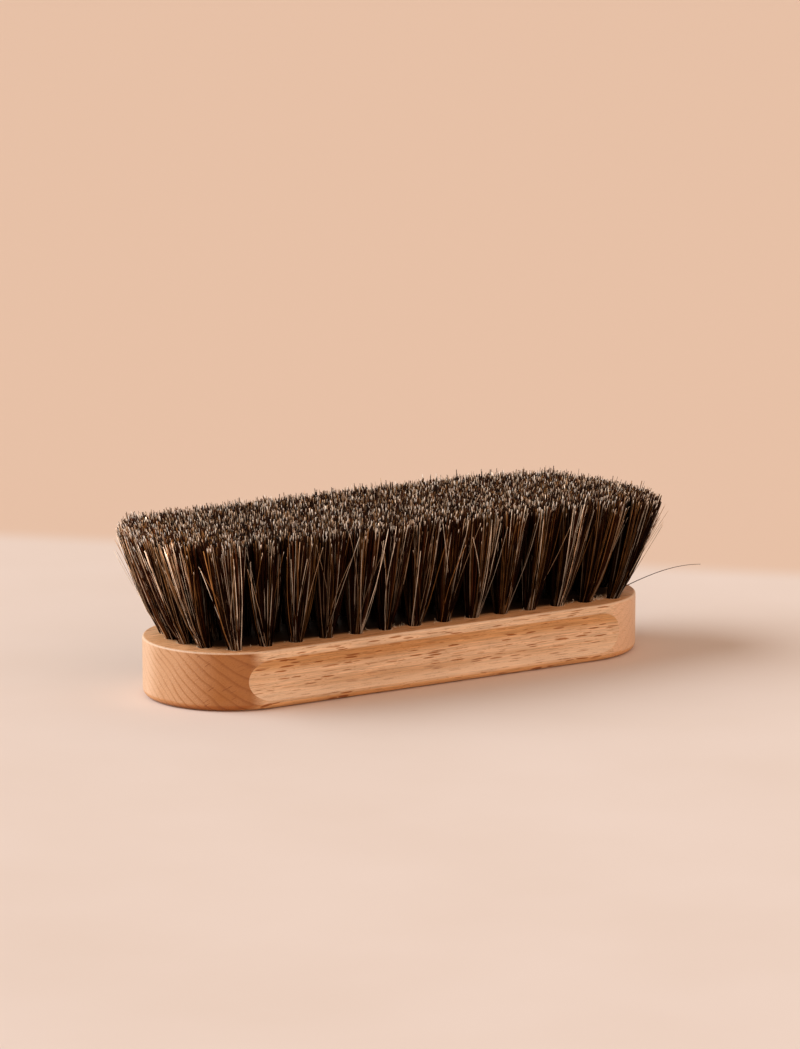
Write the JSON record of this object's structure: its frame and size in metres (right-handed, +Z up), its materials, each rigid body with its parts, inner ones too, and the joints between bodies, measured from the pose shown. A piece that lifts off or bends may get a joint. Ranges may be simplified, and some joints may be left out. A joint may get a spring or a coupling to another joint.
{
  "type": "shoe shine brush",
  "caption": "Round-ended beech shoe shine brush block with finger grooves along both sides and dense rows of dark hair tufts, each held in its hole by a flat wire anchor.",
  "frame": {"origin": "centre of the block's back, on the surface that the brush rests on, hair upwards", "axes": "+X along the length of the brush, +Y across it, +Z up from the back to the tips of the hair"},
  "size_m": [0.1904, 0.0608, 0.0555],
  "materials": {
    "beech": "oiled, satin",
    "hair": "natural hair",
    "anchor_wire": "drawn flat wire"
  },
  "bodies": {
    "root": {"anchors_row_1": "anchor_wire", "anchors_row_2": "anchor_wire", "anchors_row_3": "anchor_wire", "anchors_row_4": "anchor_wire", "anchors_row_5": "anchor_wire", "anchors_row_6": "anchor_wire", "block": "beech", "tuft_back_01": "hair", "tuft_back_02": "hair", "tuft_back_03": "hair", "tuft_back_04": "hair", "tuft_back_05": "hair", "tuft_back_06": "hair", "tuft_back_07": "hair", "tuft_back_08": "hair", "tuft_back_09": "hair", "tuft_back_10": "hair", "tuft_back_11": "hair", "tuft_back_12": "hair", "tuft_back_13": "hair", "tuft_back_14": "hair", "tuft_front_01": "hair", "tuft_front_02": "hair", "tuft_front_03": "hair", "tuft_front_04": "hair", "tuft_front_05": "hair", "tuft_front_06": "hair", "tuft_front_07": "hair", "tuft_front_08": "hair", "tuft_front_09": "hair", "tuft_front_10": "hair", "tuft_front_11": "hair", "tuft_front_12": "hair", "tuft_front_13": "hair", "tuft_front_14": "hair", "tuft_left_1": "hair", "tuft_left_2": "hair", "tuft_left_3": "hair", "tuft_left_4": "hair", "tuft_right_1": "hair", "tuft_right_2": "hair", "tuft_right_3": "hair", "tuft_right_4": "hair", "tufts_row_2": "hair", "tufts_row_3": "hair", "tufts_row_4": "hair", "tufts_row_5": "hair"}
  },
  "joints": []
}
